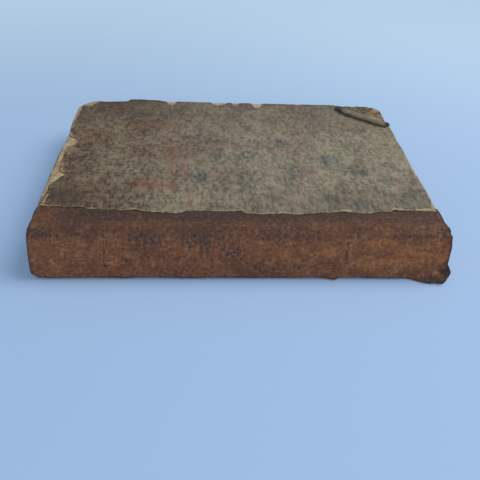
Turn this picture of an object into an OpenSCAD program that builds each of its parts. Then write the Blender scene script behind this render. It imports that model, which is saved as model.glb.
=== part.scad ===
// Old hardback book in a quarter binding: leather spine, paper sides, lying closed on its back cover.
// X runs along the spine, +Y from the spine to the fore edge, +Z up. The origin is at the middle
// of the footprint, on the surface that the book lies on.

/* [Book] */
// Length of the boards, from tail to head
board_len = 220; // [160:1:320]
// Depth of a cover, from its joint to its fore edge
cover_depth = 147.5; // [110:0.5:220]
// Thickness of the closed book
book_t = 27.6; // [20:0.2:60]
// How far the back cover lies towards the spine, because the spine leans
spine_lean = 4.5; // [3.5:0.1:6]
// How much the boards stand past the pages at head, tail and fore edge
square_w = 3; // [1.5:0.5:6]

/* [Covers] */
// Thickness of a board with the skin on both its faces
board_t = 2.8; // [2.2:0.1:4]
// Thickness of the paper on the sides
paper_t = 0.3; // [0.2:0.05:0.5]
// Thickness of the leather
leather_t = 0.8; // [0.5:0.05:1]
// Thickness of the paper pasted inside each cover
pastedown_t = 0.2; // [0.15:0.05:0.3]
// Depth of the leather strip on each cover, from the joint
leather_w = 15.5; // [8:0.5:40]
// How far the hand-cut edge between leather and paper strays on the front cover
edge_stray = 3; // [0:0.5:4]
// How far paper and leather turn in over the inside of a board
turn_in = 13; // [6:0.5:20]
// Margin of turn-in that shows round each pastedown
pastedown_margin = 4; // [2:0.5:6]
// Gap from the joint to the board
joint_w = 1.6; // [0.8:0.1:3]
// Depth of the groove along the joint
groove_d = 0.9; // [0.3:0.1:1.2]

/* [Spine] */
// How far the spine stands out past the front joint
spine_reach = 9; // [8:0.1:12]
// Height at which the round of the spine ends and its straight foot begins
spine_foot = 6; // [4:0.2:9]
// Height of the free lower edge of the spine leather
free_edge = 0.8; // [0.4:0.1:1.5]
// How far the spine leather stands past the boards at head and tail
cap_w = 0.5; // [0:0.1:1.5]
// Thickness of the lining glued to the backs of the pages
lining_t = 0.9; // [0.4:0.1:1.5]
// Diameter of the bands at head and tail
band_d = 2; // [1:0.1:2.4]

/* [Pages] */
// Thickness of a flyleaf
flyleaf_t = 0.2; // [0.1:0.05:0.4]

/* [Wear] */
// Radius of the worn front corner at the tail
worn_corner_tail = 10; // [4:0.5:14]
// Radius of the worn front corner at the head
worn_corner_head = 8; // [4:0.5:14]
// Radius of the corners of the back cover
back_corner = 4; // [1:0.5:10]
// Width of the strip along the tail edge that has lost its paper
bare_strip = 5; // [2:0.5:10]
// Length of that strip
bare_strip_len = 82; // [20:1:110]
// Where that strip begins, past the leather
bare_strip_start = 8; // [0:1:12]
// Size of the corner at the head that has lost its paper
bare_corner = 27; // [15:1:40]
// Diameter of the paper rolled back at that corner
roll_d = 4.2; // [2:0.2:6]
// Depth of the chips along the fore edge of the front paper
chip_d = 1.4; // [0.5:0.1:2.5]
// Width of those chips
chip_w = 8; // [4:0.5:12]
// Size of the spine leather's loose corner at the head
loose_corner = 22; // [10:1:30]
// How far the loose corner curls outwards
curl_out = 3.4; // [1:0.2:6]
// How far the loose corner reaches past the boards
curl_past = 2.6; // [1:0.2:5]
// Size of the corner clipped off the spine leather at the tail
clipped_corner = 4; // [1:0.5:8]
// Width of the torn tag on the free edge
tag_w = 12; // [4:1:20]
// How far the tag points outwards
tag_out = 1.2; // [0.4:0.2:3]
// Where the tag hangs, from the middle of the boards towards the head
tag_at = 48; // [0:1:70]

/* [Hidden] */
$fn = 96;

leather_brown = [0.36, 0.25, 0.2];
paper_grey = [0.47, 0.43, 0.37];
board_tan = [0.72, 0.62, 0.46];
page_cream = [0.85, 0.78, 0.63];
lining_tan = [0.68, 0.6, 0.46];
band_cream = [0.8, 0.72, 0.55];

// Small overlap for clean cuts
cut = 1;
// Thickness of a loose edge where it runs out
thin = 0.6;
// Gap between the bands and what they lie against
band_gap = 0.05;

cover_t = board_t + pastedown_t;
half_len = board_len / 2;

// The loose corner makes the outline uneven, so the boards stand off the middle of the footprint
mid_x = -(curl_past - cap_w) / 2;
footprint = cover_depth + spine_reach + curl_out;
front_joint = -footprint / 2 + curl_out + spine_reach;
back_joint = front_joint - spine_lean;
spine_out = front_joint - spine_reach;
spine_end = mid_x + half_len + cap_w;

// Height of the fold that holds the loose corner, within the spine's straight foot
root_h = spine_foot - free_edge - thin;

// The round of the spine is an arc from the front joint's groove down to the foot, upright at the foot
spine_top = book_t - groove_d;
spine_rise = spine_top - spine_foot;
spine_r = (spine_rise * spine_rise + spine_reach * spine_reach) / (2 * spine_reach);
spine_centre = spine_out + spine_r;

// Radius of the arc that bites a chip of its width and depth
chip_r = (chip_w * chip_w / 4 + chip_d * chip_d) / (2 * chip_d);

pages_len = board_len - 2 * square_w;
block_low = cover_t;
block_high = book_t - cover_t;
pages_back = leather_t + lining_t;
// The top page starts at the spine's arc and ends one square inside the front cover's fore edge
page_w = front_joint + cover_depth - square_w - arc_y(block_high, pages_back);
far = 2 * cover_depth;

// Line between leather and paper on the front cover, from tail to head, as shares of the boards' length
// and of the stray
leather_edge = [[-0.5, 1], [-0.42, 0.5], [-0.32, 0.1], [-0.24, -0.4], [-0.155, -0.7], [-0.1, 0.2], [-0.006, 0],
    [-0.003, -0.6], [0.15, -0.65], [0.19, -0.2], [0.32, -0.35], [0.38, 0.4], [0.5, 0.5]];
// Places of the chips along the fore edge, as shares of the boards' length from their middle
chips_at = [-0.218, -0.062, 0.009, 0.075];
// Inner edge of the bare strip, as shares of its width and of its length, with one deep notch
strip_edge = [[0, 0], [0.8, 0.12], [1, 0.23], [1.8, 0.3], [1.2, 0.34], [0.7, 0.43], [1, 0.66], [1.2, 0.87], [0.3, 1]];
// Edge of the paper at the bare corner, from the fore edge to the head, as shares of the corner's size
corner_edge = [[-1, -0.1], [-0.56, -0.62], [-0.13, -1.2]];

function last(list) = list[len(list) - 1];

// Y of the spine's arc at height z, inset by a thickness
function arc_y(z, inset) = spine_centre - sqrt(pow(spine_r - inset, 2) - pow(max(z - spine_foot, 0), 2));

// Puts an outline drawn in Y and Z on its feet and extrudes it along X, centred on the boards
module along_x(length) {
    translate([mid_x - length / 2, 0, 0]) rotate([90, 0, 90]) linear_extrude(length) children();
}

// Everything on the page side of the spine's curve, inset by a thickness, in Y and Z
module inside_spine(inset) {
    intersection() {
        translate([spine_centre, spine_foot]) circle(spine_r - inset, $fn = 240);
        translate([spine_out, spine_foot]) square([spine_r, book_t]);
    }
    translate([spine_centre, spine_foot]) square([far, book_t]);
    translate([spine_out + inset, -cut]) square([far, spine_foot + cut]);
}

// A skin that follows the spine between two depths and two heights
module spine_skin(outer, inner, low, high) {
    intersection() {
        difference() {
            inside_spine(outer);
            inside_spine(inner);
        }
        translate([spine_out - cut, low]) square([spine_reach + cut, high - low]);
    }
}

// Block of leaves between two heights: the fore edge repeats the curve of the back
module leaves(low, high) {
    along_x(pages_len) intersection() {
        difference() {
            inside_spine(pages_back);
            translate([page_w, 0]) inside_spine(pages_back);
        }
        translate([spine_out, low]) square([far, high - low]);
    }
}

// Plan of a cover between two depths, with its own round at each fore corner, or none
module cover_plan(length, y0, y1, tail_r = 0, head_r = 0) {
    difference() {
        translate([-length / 2, y0]) square([length, y1 - y0]);
        if (tail_r > 0) translate([-length / 2, y1]) corner_loss(tail_r);
        if (head_r > 0) translate([length / 2, y1]) mirror([1, 0]) corner_loss(head_r);
    }
}

// What a round takes from a square corner that points to -X and +Y
module corner_loss(r) {
    difference() {
        translate([-cut, -r]) square([r + cut, r + cut]);
        translate([r, -r]) circle(r);
    }
}

// Plan of the leather on a cover: its edge strays from the straight line by a distance
module leather_plan(stray) {
    polygon(concat([[half_len, 0], [-half_len, 0]],
        [for (p = leather_edge) [p[0] * board_len, leather_w + p[1] * stray]]));
}

// A cover lies with its outer face at z = 0, its joint at y = 0 and its fore edge towards +Y
module cover_board(tail_r = 0, head_r = 0, stray = 0) {
    translate([0, 0, paper_t]) linear_extrude(board_t - 2 * paper_t) difference() {
        cover_plan(board_len - 2 * paper_t, joint_w, cover_depth - paper_t, tail_r - paper_t, head_r - paper_t);
        leather_plan(stray);
    }
    translate([0, 0, leather_t]) linear_extrude(board_t - 2 * leather_t) intersection() {
        cover_plan(board_len - 2 * leather_t, joint_w, cover_depth);
        leather_plan(stray);
    }
    translate([0, 0, board_t / 2]) linear_extrude(board_t / 2)
        cover_plan(board_len - 2 * turn_in, joint_w, cover_depth - turn_in);
}

// Paper over the outer face and round the edges, turned in on the inside
module cover_paper(tail_r = 0, head_r = 0, stray = 0) {
    difference() {
        linear_extrude(board_t) difference() {
            cover_plan(board_len, 0, cover_depth, tail_r, head_r);
            leather_plan(stray);
        }
        cover_board(tail_r, head_r, stray);
    }
}

// Leather from the joint over the board, with the groove on the outside and the hollow of the joint inside
module cover_leather(stray = 0) {
    difference() {
        linear_extrude(board_t) leather_plan(stray);
        cover_board(stray = stray);
        translate([-half_len - cut, -cut, groove_d + leather_t]) cube([board_len + 2 * cut, joint_w + cut, board_t]);
        translate([-half_len - cut, 0, 0]) rotate([90, 0, 90]) linear_extrude(board_len + 2 * cut)
            polygon([[-cut, -cut], [joint_w, -cut], [joint_w, 0], [0, groove_d], [-cut, groove_d]]);
    }
}

module cover_pastedown() {
    translate([-half_len + pastedown_margin, 0, board_t])
        cube([board_len - 2 * pastedown_margin, cover_depth - pastedown_margin, pastedown_t]);
}

module as_back_cover() {
    translate([mid_x, back_joint, 0]) children();
}

module as_front_cover() {
    translate([mid_x, front_joint, book_t]) mirror([0, 0, 1]) children();
}

// Places on the front cover that have lost their paper, as a cutter in the cover's own place
module lost_paper() {
    translate([0, 0, -cut]) linear_extrude(board_t / 2 + cut) {
        // Ragged strip along the tail edge with one deep notch
        translate([-half_len, leather_w + bare_strip_start]) polygon(concat([[-cut, 0]],
            [for (p = strip_edge) [p[0] * bare_strip, p[1] * bare_strip_len]], [[-cut, bare_strip_len]]));
        // Corner behind the roll
        translate([half_len, cover_depth]) polygon(concat([[cut, cut], [-bare_corner, cut]],
            bare_corner * corner_edge, [[cut, last(corner_edge)[1] * bare_corner]]));
        // Shallow chips along the fore edge
        for (at = chips_at) translate([at * board_len, cover_depth + chip_r - chip_d]) circle(chip_r);
    }
}

// Paper rolled back on itself along the bare corner, as an open scroll
module corner_roll() {
    start = [half_len, cover_depth] + bare_corner * corner_edge[0];
    run = bare_corner * (last(corner_edge) - corner_edge[0]);
    wall = 2 * paper_t;
    // It is sunk by half the paper's thickness, because it is the same sheet
    translate([start[0], start[1], (paper_t - roll_d) / 2]) rotate([0, 0, atan2(run[1], run[0])]) rotate([90, 0, 90])
        linear_extrude(norm(run)) difference() {
            circle(d = roll_d);
            circle(d = roll_d - 2 * wall);
            translate([0, roll_d / 8]) square([roll_d, roll_d / 8]);
        }
}

// The sheet of the spine, with its ends turned in over the lining
module spine_sheet() {
    along_x(board_len + 2 * cap_w) spine_skin(0, leather_t, free_edge, book_t);
    for (side = [-1, 1])
        translate([side * (half_len + cap_w - turn_in / 2), 0, 0])
            along_x(turn_in) spine_skin(leather_t, pages_back, block_low, spine_top - leather_t);
}

// The clipped corner of the free edge at the tail
module clipped_away() {
    translate([mid_x - half_len - cap_w, spine_out + leather_t + cut, free_edge]) rotate([90, 0, 0])
        linear_extrude(leather_t + 2 * cut) polygon([[-cut, -cut], [clipped_corner, -cut],
            [clipped_corner, 0], [0, clipped_corner], [-cut, clipped_corner]]);
}

// A small torn tag of the free edge that points down and outwards
module torn_tag() {
    hull() {
        translate([mid_x + tag_at - tag_w / 2, spine_out, free_edge]) cube([tag_w, leather_t, 2 * leather_t]);
        translate([mid_x + tag_at + tag_w / 3, spine_out - tag_out, free_edge / 2]) cube([thin, leather_t, thin]);
    }
}

// What the spine loses where the loose corner folds away from it
module loose_corner_cut() {
    translate([spine_end, spine_out + leather_t + cut, free_edge]) rotate([90, 0, 0])
        linear_extrude(leather_t + 2 * cut)
            polygon([[cut, -cut], [cut, root_h], [0, root_h], [-loose_corner, 0], [-loose_corner, -cut]]);
}

// The loose corner at the head, bent outwards along its root and curled at its tip
module curled_corner() {
    hull() {
        curl_leaf([-loose_corner - thin, 0, free_edge]);
        curl_leaf([-thin, 0, free_edge + root_h]);
        curl_leaf([-curl_past, -curl_out * 0.8, free_edge / 2]);
    }
    hull() {
        curl_leaf([-thin, 0, free_edge + root_h]);
        curl_leaf([-curl_past, -curl_out * 0.8, free_edge / 2]);
        curl_leaf([curl_past - cap_w - thin, -curl_out, free_edge + root_h / 2]);
    }
}

// A corner of the curl, placed from the spine's end at the head
module curl_leaf(at) {
    translate([spine_end, spine_out, 0] + at) cube([thin, leather_t, thin]);
}

// A band lies on the ends of the pages and follows the round of the back and its straight foot
module band(side) {
    arc_r = spine_r - pages_back - band_gap - band_d / 2;
    sweep = asin((block_high - band_d / 2 - spine_foot) / arc_r);
    translate([mid_x + side * (pages_len / 2 + band_gap + band_d / 2), spine_centre, spine_foot]) {
        rotate([90, 0, -90]) rotate_extrude(angle = sweep) translate([arc_r, 0]) circle(d = band_d, $fn = 32);
        translate([0, -arc_r, block_low - spine_foot]) cylinder(d = band_d, h = spine_foot - block_low, $fn = 32);
    }
}

module back_board() {
    color(board_tan) as_back_cover() cover_board(back_corner, back_corner);
}

module back_paper() {
    color(paper_grey) as_back_cover() cover_paper(back_corner, back_corner);
}

module back_leather() {
    color(leather_brown) as_back_cover() cover_leather();
}

module back_pastedown() {
    color(page_cream) as_back_cover() cover_pastedown();
}

module pages() {
    color(page_cream) leaves(block_low + flyleaf_t, block_high - flyleaf_t);
}

module front_flyleaf() {
    color(page_cream) leaves(block_high - flyleaf_t, block_high);
}

module back_flyleaf() {
    color(page_cream) leaves(block_low, block_low + flyleaf_t);
}

module spine_lining() {
    color(lining_tan) along_x(board_len + 2 * cap_w - 2 * turn_in)
        spine_skin(leather_t, pages_back, block_low, spine_top - leather_t);
}

module head_band() {
    color(band_cream) band(1);
}

module tail_band() {
    color(band_cream) band(-1);
}

module spine_leather() {
    color(leather_brown) {
        difference() {
            spine_sheet();
            clipped_away();
            loose_corner_cut();
        }
        torn_tag();
        curled_corner();
    }
}

module front_board() {
    color(board_tan) as_front_cover() cover_board(worn_corner_tail, worn_corner_head, edge_stray);
}

module front_paper() {
    color(paper_grey) as_front_cover() {
        difference() {
            cover_paper(worn_corner_tail, worn_corner_head, edge_stray);
            lost_paper();
        }
        corner_roll();
    }
}

module front_leather() {
    color(leather_brown) as_front_cover() cover_leather(edge_stray);
}

module front_pastedown() {
    color(page_cream) as_front_cover() cover_pastedown();
}

back_board();
back_paper();
back_leather();
back_pastedown();
pages();
front_flyleaf();
back_flyleaf();
spine_lining();
head_band();
tail_band();
spine_leather();
front_board();
front_paper();
front_leather();
front_pastedown();
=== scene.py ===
import math

import bmesh
import bpy
import numpy as np
from mathutils import Matrix


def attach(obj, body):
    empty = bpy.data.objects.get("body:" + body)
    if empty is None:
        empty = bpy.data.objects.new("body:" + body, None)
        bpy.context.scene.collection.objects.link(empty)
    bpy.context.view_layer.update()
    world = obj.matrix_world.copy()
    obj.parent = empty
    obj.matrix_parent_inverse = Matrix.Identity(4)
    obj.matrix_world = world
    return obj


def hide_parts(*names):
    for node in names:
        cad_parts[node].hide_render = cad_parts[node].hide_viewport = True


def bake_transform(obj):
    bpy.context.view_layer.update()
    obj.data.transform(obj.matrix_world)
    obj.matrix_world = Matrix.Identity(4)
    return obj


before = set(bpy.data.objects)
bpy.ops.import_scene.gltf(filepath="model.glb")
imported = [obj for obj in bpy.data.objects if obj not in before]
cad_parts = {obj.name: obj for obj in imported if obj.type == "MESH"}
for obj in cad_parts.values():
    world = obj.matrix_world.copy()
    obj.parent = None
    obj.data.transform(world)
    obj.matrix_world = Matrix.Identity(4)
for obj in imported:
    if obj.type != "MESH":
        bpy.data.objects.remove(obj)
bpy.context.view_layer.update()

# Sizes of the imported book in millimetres; lengths below are in millimetres unless a note says otherwise
book = {
    "halfLen": 110.0, "midX": -1.05, "thick": 27.6, "coverDepth": 147.5, "capW": 0.5,
    "frontJoint": -67.55, "backJoint": -72.05, "boardT": 2.8, "paperT": 0.3, "leatherT": 0.8,
    "leatherW": 15.5, "jointW": 1.6, "grooveD": 0.9, "spineOut": -76.55, "spineFoot": 6.0,
    "spineR": 28.305, "spineCentre": -48.245, "spineTop": 26.7, "freeEdge": 0.8,
    "blockLow": 3.0, "blockHigh": 24.6, "pagesHalf": 107.0, "pagesBack": 1.7, "pageW": 144.2,
    "turnIn": 13.0, "margin": 4.0, "flyleafT": 0.2, "pastedownT": 0.2,
}
coverMiddle = (0.0, 80.0)


def ease(value, low, high):
    # smooth step, 0 at low and 1 at high
    t = np.clip((value - low) / (high - low), 0, 1)
    return t * t * (3 - 2 * t)


def hump(value, centre, half):
    # bell of height 1 at centre
    return np.exp(-((value - centre) / half) ** 2)


def spot(x, y, atX, atY, halfX, halfY):
    # bell of height 1 over an oval
    return np.exp(-((x - atX) / halfX) ** 2 - ((y - atY) / halfY) ** 2)


def sumMarks(marks, x, y):
    # sum of spots; a mark is its place, half length, half height where it isn't round, and strength
    total = np.zeros(np.broadcast(x, y).shape)
    for atX, atY, halfX, *halfY, strength in marks:
        total = total + strength * spot(x, y, atX, atY, halfX, halfY[0] if halfY else halfX)
    return total


def most(first, *others):
    # the largest of several arrays, point by point
    for other in others:
        first = np.maximum(first, other)
    return first


def rough(x, y, cell, seed):
    # value noise from -1 to 1: random heights on a square lattice, joined by smooth steps
    table = np.random.default_rng(seed).uniform(-1, 1, (128, 128))
    u, v = np.broadcast_arrays(np.asarray(x) / cell, np.asarray(y) / cell)
    i, j = np.floor(u).astype(int), np.floor(v).astype(int)
    fu, fv = u - i, v - j
    fu, fv = fu * fu * (3 - 2 * fu), fv * fv * (3 - 2 * fv)
    low = table[i % 128, j % 128] * (1 - fu) + table[(i + 1) % 128, j % 128] * fu
    high = table[i % 128, (j + 1) % 128] * (1 - fu) + table[(i + 1) % 128, (j + 1) % 128] * fu
    return low * (1 - fv) + high * fv


def fringe(half, edge, step):
    # positions from -half to half, close together near both ends
    inner = np.arange(-half + edge[-1] + step, half - edge[-1] - step * 0.5, step)
    ends = np.array(edge)
    return np.concatenate([-half + ends, inner, (half - ends)[::-1]])


def resample(points, count):
    # the same polyline with a number of equal steps, or at given shares of its length
    points = np.asarray(points, float)
    shares = np.linspace(0, 1, count) if np.isscalar(count) else count
    gone = np.concatenate([[0], np.cumsum(np.linalg.norm(np.diff(points, axis=0), axis=1))])
    return np.stack([np.interp(shares * gone[-1], gone, values) for values in points.T], -1)


def arcPoints(cx, cy, radius, fromDeg, toDeg, count):
    turn = np.radians(np.linspace(fromDeg, toDeg, count))
    return np.stack([cx + radius * np.cos(turn), cy + radius * np.sin(turn)], -1)


def roundOff(fromEnd, r):
    # how far an edge rounded with radius r falls, by the distance from the end
    inset = np.clip(r - fromEnd, 0, r)
    return r - np.sqrt(r * r - inset * inset)


def roundFar(x, y, halfX, highY, r):
    # rounds the two far corners of a leaf: the square at each corner is drawn onto a quarter of a disc
    a = np.clip((np.abs(x) - halfX + r) / r, 0, None)
    b = np.clip((y - highY + r) / r, 0, None)
    shrink = np.maximum(a, b) / np.maximum(np.hypot(a, b), 1e-9)
    inCorner = (a > 0) & (b > 0)
    roundX = np.where(inCorner, np.sign(x) * (halfX - r + r * a * shrink), x)
    return roundX, np.where(inCorner, highY - r + r * b * shrink, y)


def wornEdge(x, y):
    # how far the front cover is worn back: at the far tail corner, along the tail, ragged at the bare corner
    back = 1.8 * hump(x, -91, 13) * ease(y, 137, 141) + 1.3 * hump(y, 92, 12) * ease(-x, 100, 106)
    return back + (0.3 + 1.5 * np.abs(rough(x, y, 3.1, 170))) * ease(x + y, 224, 230)


def blockPlace(x, y, height):
    # text block: y from the middle of the footprint, height above the surface that the book lies on
    return np.stack(np.broadcast_arrays(x + book["midX"], y, height), -1)


def frontPlace(x, y, depth):
    # front cover: y from its joint, depth down from its outer face
    return blockPlace(x, y + book["frontJoint"], book["thick"] - depth)


def backPlace(x, y, depth):
    # back cover: y from its joint, depth up from its outer face
    return blockPlace(x, y + book["backJoint"], depth)


def gridQuads(rows, cols, loopCols=False, start=0):
    # quads between neighbouring rows and columns of a grid of points
    r, c = np.meshgrid(np.arange(rows - 1), np.arange(cols if loopCols else cols - 1), indexing="ij")
    right = (c + 1) % cols
    quads = [r * cols + c, (r + 1) * cols + c, (r + 1) * cols + right, r * cols + right]
    return np.stack(quads, -1).reshape(-1, 4) + start


def borderOf(rows, cols):
    # indices of a grid's border points in order
    grid = np.arange(rows * cols).reshape(rows, cols)
    return np.concatenate([grid[:-1, 0], grid[-1, :-1], grid[:0:-1, -1], grid[0, :0:-1]])


def ringFaces(rings, count):
    # faces between closed rings of points, with a fan to one middle point at each end
    index = np.arange(count)
    after = (index + 1) % count
    last = (rings - 1) * count
    fanStart = np.stack([np.full(count, rings * count), index, after], -1)
    fanEnd = np.stack([np.full(count, rings * count + 1), last + after, last + index], -1)
    return [gridQuads(rings, count, loopCols=True), fanStart, fanEnd]


def addObject(name, data):
    made = bpy.data.objects.new(name, data)
    bpy.context.scene.collection.objects.link(made)
    return made


def makePiece(name, parts, faces, finishes, fields=None, flat=None, faceFinish=None, sharp=50):
    # Mesh from arrays of points in millimetres and arrays of faces; doubles are merged and normals turned
    # outwards. A field for fewer points is repeated while it fits, and is 0 on what is left.
    points = np.concatenate([np.reshape(part, (-1, 3)) for part in parts])
    mesh = bpy.data.meshes.new(name)
    mesh.from_pydata((points * 0.001).tolist(), [], [face for some in faces for face in some.tolist()])
    for key, values in (fields or {}).items():
        values = np.tile(np.ravel(values), len(points) // np.size(values))
        values = np.pad(values, (0, len(points) - len(values))).astype(np.float32)
        mesh.attributes.new(key, "FLOAT", "POINT").data.foreach_set("value", values)
    if flat is not None:
        corner = np.zeros(len(mesh.loops), np.int32)
        mesh.loops.foreach_get("vertex_index", corner)
        mesh.uv_layers.new(name="sheet").data.foreach_set("uv", (flat[corner] * 0.001).ravel())
    for finish in finishes:
        mesh.materials.append(finish)
    if faceFinish is not None:
        mesh.polygons.foreach_set("material_index", faceFinish.astype(np.int32))
    work = bmesh.new()
    work.from_mesh(mesh)
    bmesh.ops.remove_doubles(work, verts=work.verts, dist=2e-6)
    bmesh.ops.dissolve_degenerate(work, edges=work.edges, dist=1e-7)
    bmesh.ops.recalc_face_normals(work, faces=work.faces)
    work.to_mesh(mesh)
    work.free()
    mesh.polygons.foreach_set("use_smooth", np.ones(len(mesh.polygons), bool))
    mesh.set_sharp_from_angle(angle=math.radians(sharp))
    mesh.update()
    return addObject(name, mesh)


def makeShell(name, outer, inner, finish, fields, flat=None, innerShift=0, sharp=50):
    # closed shell: an outer grid of points, an inner grid behind it, and a wall round the border
    rows, cols = outer.shape[:2]
    count = rows * cols
    quads = gridQuads(rows, cols)
    ring = borderOf(rows, cols)
    after = np.roll(ring, -1)
    wall = np.stack([ring, ring + count, after + count, after], -1)
    faces = [quads, quads[:, ::-1] + count, wall]
    if flat is not None:
        flat = np.stack(np.broadcast_arrays(*flat), -1).reshape(-1, 2)
        flat = np.concatenate([flat, flat + [0, innerShift]])
    return makePiece(name, [outer, inner], faces, [finish], fields, flat, sharp=sharp)


def rgb(colour):
    # a colour given as on a screen, made linear for the shader
    parts = np.array(colour) / 255
    return (*np.where(parts <= 0.04045, parts / 12.92, ((parts + 0.055) / 1.055) ** 2.4), 1.0)


class Value:
    # output of a node; sums, differences and products of such values add Math nodes
    def __init__(self, nodes, socket):
        self.nodes = nodes
        self.socket = socket

    def __add__(self, other):
        return self.nodes.calculate("ADD", self, other)

    def __sub__(self, other):
        return self.nodes.calculate("SUBTRACT", self, other)

    def __rsub__(self, other):
        return self.nodes.calculate("SUBTRACT", other, self)

    def __mul__(self, other):
        return self.nodes.calculate("MULTIPLY", self, other)

    def swing(self, times):
        # a noise counted from its middle
        return (self - 0.5) * times


class Nodes:
    # adds nodes to one node tree
    def __init__(self, tree):
        self.tree = tree

    def put(self, value, socket):
        if isinstance(value, Value):
            self.tree.links.new(value.socket, socket)
        else:
            socket.default_value = value

    def node(self, kind, output, inputs, **settings):
        made = self.tree.nodes.new("ShaderNode" + kind)
        for key, value in settings.items():
            setattr(made, key, value)
        for key, value in inputs.items():
            self.put(value, made.inputs[key])
        return Value(self, made.outputs[output])

    def calculate(self, kind, one, two=0.0, clamp=False):
        return self.node("Math", 0, {0: one, 1: two}, operation=kind, use_clamp=clamp)


class Finish(Nodes):
    # one procedural material, on object coordinates or on the flat sheet's own
    def __init__(self, name, surface="object"):
        self.material = bpy.data.materials.new(name)
        self.material.use_nodes = True
        super().__init__(self.material.node_tree)
        self.shader = self.tree.nodes["Principled BSDF"]
        if surface == "sheet":
            self.place = self.node("UVMap", 0, {}, uv_map="sheet")
        else:
            self.place = self.node("TexCoord", "Object", {})

    def noise(self, scale, detail=4, rough=0.55, stretch=None, shift=(0, 0, 0)):
        place = self.place
        if stretch is not None:
            place = self.node("Mapping", 0, {"Vector": place, "Scale": stretch, "Location": shift})
        return self.node("TexNoise", 0, {"Vector": place, "Scale": scale, "Detail": detail, "Roughness": rough})

    def span(self, value, low, high, toLow=0.0, toHigh=1.0):
        # smooth step from toLow at low to toHigh at high
        inputs = {"Value": value, "From Min": low, "From Max": high, "To Min": toLow, "To Max": toHigh}
        return self.node("MapRange", 0, inputs, interpolation_type="SMOOTHSTEP")

    def mix(self, share, one, two):
        one, two = (rgb(tone) if isinstance(tone, tuple) else tone for tone in (one, two))
        return self.node("Mix", 2, {0: share, 6: one, 7: two}, data_type="RGBA")

    def layers(self, colour, *coats):
        # coats over one another, each given as its share and its colour
        for share, tone in coats:
            colour = self.mix(share, colour, tone)
        return colour

    def field(self, name):
        return self.node("Attribute", "Fac", {}, attribute_name=name)

    def axis(self, name):
        return self.node("SeparateXYZ", name, {0: self.place})

    def done(self, colour, roughness, specular, height=None, reach=0.0003, strength=0.8):
        # reach is the bump's depth in metres
        self.put(colour, self.shader.inputs["Base Color"])
        self.put(roughness, self.shader.inputs["Roughness"])
        self.put(specular, self.shader.inputs["Specular IOR Level"])
        if height is not None:
            bump = self.node("Bump", 0, {"Height": height, "Distance": reach, "Strength": strength})
            self.put(bump, self.shader.inputs["Normal"])
        return self.material


leatherColours = {
    "brown": (97, 61, 44), "russet": (114, 72, 48), "warm": (140, 89, 50), "purple": (60, 45, 43),
    "speck": (50, 35, 31), "rubbed": (150, 112, 82), "strip": (59, 44, 38), "edge": (46, 31, 27),
    "pale": (196, 182, 158),
}


def leatherFinish():
    # Brown and russet clouds, darker on the strip, with stains, specks, a grain along and across the spine,
    # rubbed places, and one long crack that wanders a little to each side
    # Painted shade darkens the curled head corner, its lip and the sheet's ends; painted light warms the spine
    # towards its head end and foot
    f = Finish("worn_leather", "sheet")
    c = leatherColours
    broad = f.noise(48, 3, 0.5)
    cloud = f.noise(150, 4, 0.6)
    small = f.noise(520, 4, 0.62)
    pores = f.noise(1050, 3, 0.6)
    wrinkles = f.noise(1, 4, 0.6, (240, 1300, 1))
    ribs = f.noise(1, 3, 0.55, (1500, 180, 1))
    strip = f.field("strip")
    # dark marks: stains, with painted shade on the curled head corner
    stainAndShade = f.field("dark") + small.swing(2.0) + cloud.swing(2.4)
    away = f.calculate("ABSOLUTE", f.axis("X") + f.noise(140, 2).swing(0.0022) - f.field("crackAt"))
    crack = f.span(away, 0.00042, 0.0001, 0, 0.8) * f.span(f.noise(420, 3), 0.36, 0.62)
    colour = f.layers(
        c["brown"],
        (f.span(broad, 0.4, 0.6), c["russet"]),
        (f.field("warm") * f.span(cloud, 0.36, 0.58), c["warm"]),
        (strip * 0.9, c["strip"]),
        ((1.0 - strip * 0.75) * f.span(cloud, 0.5, 0.68, 0, 0.45), c["rubbed"]),
        (f.span(stainAndShade, 0.2, 1.0, 0, 0.8), c["purple"]),
        (f.span(small, 0.52, 0.68, 0, 0.54), c["speck"]),
        ((1.0 - strip * 0.6) * f.span(small, 0.48, 0.34, 0, 0.38), c["rubbed"]),
        (f.span(ribs, 0.52, 0.68, 0, 0.42), c["speck"]),
        (f.span(wrinkles, 0.53, 0.66, 0, 0.4), c["purple"]),
        (crack, c["edge"]),
        # worn dark edges, with painted shade at the ends and on the curled head corner
        (f.field("edge"), c["edge"]),
        (f.span(f.field("pale"), 0.3, 0.7), c["pale"]))
    height = small * 0.9 + pores * 0.45 + wrinkles * 0.45 + ribs * 0.35 - crack
    return f.done(colour, f.span(small, 0.35, 0.65, 0.58, 0.8), 0.22, height, 0.00035, 0.8)


paperColours = {
    "brownDark": (65, 50, 40), "brownLight": (119, 98, 79), "tanDark": (103, 96, 85),
    "tanLight": (155, 146, 127), "green": (112, 120, 106), "slate": (66, 70, 66),
    "pink": (150, 116, 104), "rub": (142, 54, 60), "torn": (158, 142, 114), "ochre": (146, 112, 62),
    "grime": (70, 58, 51), "teal": (100, 119, 114), "ink": (48, 58, 64), "olive": (146, 138, 100),
}


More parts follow.
